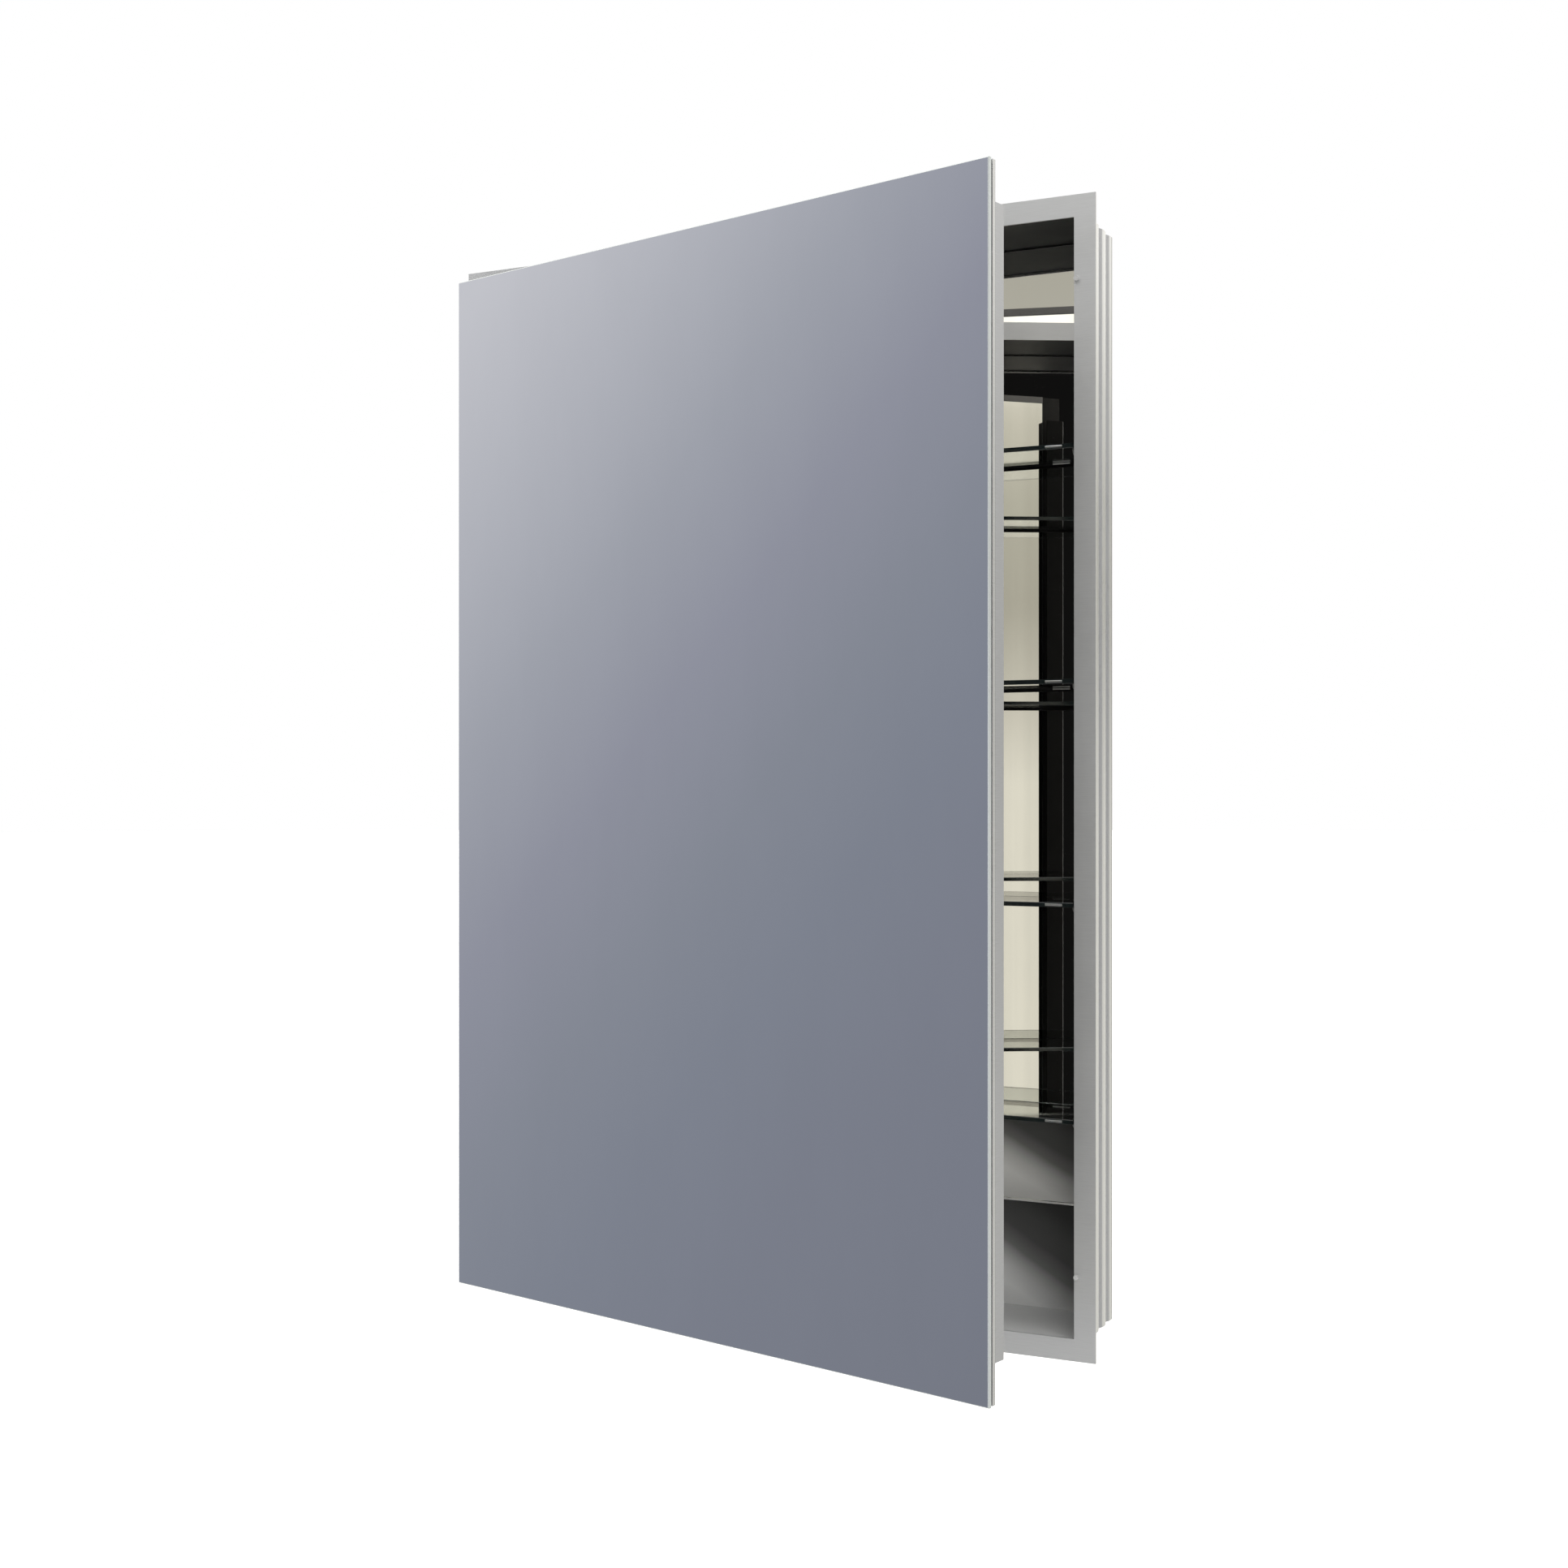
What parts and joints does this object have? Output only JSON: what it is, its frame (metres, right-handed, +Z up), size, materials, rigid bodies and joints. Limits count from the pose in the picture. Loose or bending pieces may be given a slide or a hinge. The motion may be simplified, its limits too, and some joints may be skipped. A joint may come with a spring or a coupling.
{
  "type": "medicine cabinet",
  "caption": "Recessed bathroom medicine cabinet: mirrored door hinged on the left, mirrored back, glass shelves, ribbed aluminium body and a slim face frame.",
  "frame": {"origin": "centre of the back panel's rear face, the face that stands against the back of the wall recess", "axes": "+Z up, +Y into the wall, +X to the right as one faces the cabinet, so the mirrored door faces -Y"},
  "size_m": [0.634, 0.2703, 0.994],
  "materials": {
    "satin_aluminium": "satin",
    "ribbed_aluminium": "satin",
    "dark_lining": "dark grey anodised",
    "grey_sheet": "grey anodised",
    "silvered_glass": "mirror",
    "door_mirror_glass": "mirror with ground edges",
    "shelf_glass": "clear",
    "cleat_metal": "satin",
    "bright_metal": "bright",
    "plate_aluminium": "satin",
    "bond_layer": "matte",
    "backing_board": "matte board",
    "bumper_rubber": "soft translucent",
    "seal_rubber": "matte",
    "cap_plastic": "matte"
  },
  "bodies": {
    "cabinet": {"back_mirror": "silvered_glass", "back_panel": "grey_sheet", "bumper_lower": "bumper_rubber", "bumper_upper": "bumper_rubber", "cleat_1_left": "cleat_metal", "cleat_1_right": "cleat_metal", "cleat_2_left": "cleat_metal", "cleat_2_right": "cleat_metal", "cleat_3_left": "cleat_metal", "cleat_3_right": "cleat_metal", "cleat_4_left": "cleat_metal", "cleat_4_right": "cleat_metal", "frame_bottom": "satin_aluminium", "frame_left": "satin_aluminium", "frame_right": "satin_aluminium", "frame_top": "satin_aluminium", "hinge_lower_leaf": "bright_metal", "hinge_lower_pin": "bright_metal", "hinge_middle_leaf": "bright_metal", "hinge_middle_pin": "bright_metal", "hinge_upper_leaf": "bright_metal", "hinge_upper_pin": "bright_metal", "hole_cap_lower_left": "cap_plastic", "hole_cap_lower_right": "cap_plastic", "hole_cap_upper_left": "cap_plastic", "hole_cap_upper_right": "cap_plastic", "liner_left": "dark_lining", "liner_right": "dark_lining", "mirror_backer": "backing_board", "mirror_ledge": "bright_metal", "panel_bottom": "grey_sheet", "panel_top": "dark_lining", "shelf_1": "shelf_glass", "shelf_2": "shelf_glass", "shelf_3": "shelf_glass", "shelf_4": "shelf_glass", "side_left": "ribbed_aluminium", "side_right": "ribbed_aluminium"},
    "door": {"door_bond": "bond_layer", "door_core": "backing_board", "door_mirror": "door_mirror_glass", "door_plate": "plate_aluminium", "door_seal": "seal_rubber", "hinge_lower_door_leaf": "bright_metal", "hinge_middle_door_leaf": "bright_metal", "hinge_upper_door_leaf": "bright_metal", "inner_mirror": "silvered_glass", "rail_bottom": "dark_lining", "rail_top": "dark_lining", "stile_left": "satin_aluminium", "stile_right": "satin_aluminium"}
  },
  "joints": [
    {"name": "door_hinge", "type": "hinge", "parent": "cabinet", "child": "door", "pos_m": [-0.299, -0.1035, 0], "axis": [0, 0, -1], "range_deg": [-14, 81]}
  ]
}
